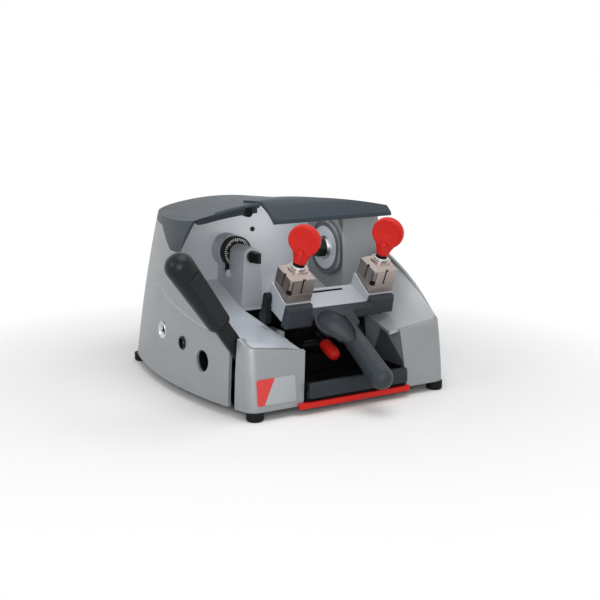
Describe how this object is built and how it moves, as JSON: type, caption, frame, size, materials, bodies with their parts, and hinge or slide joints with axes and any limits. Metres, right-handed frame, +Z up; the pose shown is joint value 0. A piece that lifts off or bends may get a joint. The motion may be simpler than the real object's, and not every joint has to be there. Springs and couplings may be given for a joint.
{
  "type": "key duplicating machine",
  "caption": "Bench key duplicating machine with a cutter wheel, a tracer, a tilting two-clamp carriage, a traverse lever and a chip tray in a sloped casing.",
  "frame": {"origin": "middle of the bounding box, on the bench under the feet", "axes": "+X to the operator's right, +Y to the rear, +Z up"},
  "size_m": [0.4189, 0.4397, 0.2539],
  "materials": {
    "casing": "satin silver-grey paint",
    "lining": "light grey satin paint",
    "deck": "polished",
    "slate": "satin slate grey",
    "dark": "satin dark grey",
    "black": "satin black",
    "red": "gloss red",
    "steel": "ground steel",
    "nickel": "nickel plated",
    "chrome": "polished",
    "grey_cast": "painted light grey casting",
    "iron": "dark enamel",
    "rubber": "matt",
    "black_steel": "blackened"
  },
  "bodies": {
    "base": {"left_casing": "casing", "front_cheek": "casing", "right_casing": "casing", "rear_panel": "casing", "base_plate": "black_steel", "feet": "rubber", "back_wall": "lining", "left_deck": "deck", "right_deck": "lining", "tracer_pillar": "lining", "head_housing": "lining", "spindle_bearings": "steel", "motor": "iron", "motor_mount": "iron", "drive_belt": "rubber", "top_cover": "slate", "cutter_hood": "slate", "cover_catch": "black", "carriage_shaft": "chrome", "floor_brackets": "iron", "mains_inlet": "black", "switch_frame": "black", "side_cap": "chrome", "side_bush": "steel", "panel_screws": "steel"},
    "spindle": {"cutter_spindle": "steel", "cutter": "chrome", "cutter_flange": "steel", "cutter_nut": "chrome", "spindle_pulley": "iron"},
    "rotor": {"motor_shaft": "steel", "motor_pulley": "iron"},
    "dial": {"tracer_dial": "black"},
    "tracer": {"tracer_point": "steel"},
    "saddle": {"traverse_sleeve": "black_steel", "traverse_rack": "steel"},
    "carriage": {"carriage_body": "grey_cast", "carriage_cover": "dark", "carriage_handle": "dark", "left_lower_jaw": "nickel", "left_clamp_stud": "steel", "right_lower_jaw": "nickel", "right_clamp_stud": "steel"},
    "gauge": {"shoulder_gauge": "black_steel"},
    "lock": {"lock_pin": "steel", "lock_knob": "red"},
    "lever": {"lever_arm": "black_steel", "lever_grip": "black", "lever_shaft": "steel", "lever_sector": "steel"},
    "tray": {"chip_tray": "black", "tray_pull": "red"},
    "rocker": {"power_rocker": "black"},
    "left_jaw": {"left_upper_jaw": "nickel", "left_clamp_washer": "chrome"},
    "left_knob": {"left_clamp_knob": "red"},
    "right_jaw": {"right_upper_jaw": "nickel", "right_clamp_washer": "chrome"},
    "right_knob": {"right_clamp_knob": "red"}
  },
  "joints": [
    {"name": "spindle_spin", "type": "hinge", "parent": "base", "child": "spindle", "pos_m": [0.1174, 0.0396, 0.175], "axis": [1, 0, 0], "continuous": true},
    {"name": "motor_spin", "type": "hinge", "parent": "base", "child": "rotor", "pos_m": [0.0854, 0.1556, 0.078], "axis": [1, 0, 0], "continuous": true},
    {"name": "dial_turn", "type": "hinge", "parent": "base", "child": "dial", "pos_m": [-0.0146, 0.0636, 0.175], "axis": [0, 1, 0], "range_deg": [-180.1, 180.1]},
    {"name": "tracer_set", "type": "slide", "parent": "base", "child": "tracer", "axis": [0, 1, 0], "range_m": [-0.0005, 0.0005]},
    {"name": "traverse_slide", "type": "slide", "parent": "base", "child": "saddle", "axis": [1, 0, 0], "range_m": [-0.0361, 0]},
    {"name": "carriage_swing", "type": "hinge", "parent": "saddle", "child": "carriage", "pos_m": [0.0354, -0.0174, 0.05], "axis": [1, 0, 0], "range_deg": [-20, 0]},
    {"name": "gauge_flip", "type": "hinge", "parent": "carriage", "child": "gauge", "pos_m": [0.0354, -0.06713, 0.13644], "axis": [1, 0, 0], "range_deg": [-100, 0]},
    {"name": "lock_pull", "type": "slide", "parent": "carriage", "child": "lock", "axis": [0, -0.9205, -0.3907], "range_m": [0, 0.006], "stiffness_N_per_m": 400, "springref_m": -0.006},
    {"name": "lever_turn", "type": "hinge", "parent": "base", "child": "lever", "pos_m": [-0.0726, -0.1194, 0.028], "axis": [0, 1, 0], "range_deg": [-45.8, 0]},
    {"name": "tray_slide", "type": "slide", "parent": "base", "child": "tray", "axis": [0, -1, 0], "range_m": [0, 0.1]},
    {"name": "power_rock", "type": "hinge", "parent": "base", "child": "rocker", "pos_m": [0.0574, 0.2146, 0.042], "axis": [1, 0, 0], "range_deg": [-16, 0]},
    {"name": "left_jaw_lift", "type": "slide", "parent": "carriage", "child": "left_jaw", "axis": [0, -0.3907, 0.9205], "range_m": [0, 0.003]},
    {"name": "left_knob_turn", "type": "hinge", "parent": "left_jaw", "child": "left_knob", "pos_m": [-0.0146, -0.08596, 0.13986], "axis": [0, -0.3907, 0.9205], "range_deg": [0, 720.1]},
    {"name": "right_jaw_lift", "type": "slide", "parent": "carriage", "child": "right_jaw", "axis": [0, -0.3907, 0.9205], "range_m": [0, 0.003]},
    {"name": "right_knob_turn", "type": "hinge", "parent": "right_jaw", "child": "right_knob", "pos_m": [0.1148, -0.08596, 0.13986], "axis": [0, -0.3907, 0.9205], "range_deg": [0, 720.1]}
  ],
  "couplings": [
    {"joint": "motor_spin", "follows": "spindle_spin", "ratio": 0.76923},
    {"joint": "dial_turn", "follows": "tracer_set", "rad_per_m": 6283.2},
    {"joint": "traverse_slide", "follows": "lever_turn", "m_per_rad": 0.045},
    {"joint": "left_knob_turn", "follows": "left_jaw_lift", "rad_per_m": 4188.8},
    {"joint": "right_knob_turn", "follows": "right_jaw_lift", "rad_per_m": 4188.8}
  ]
}
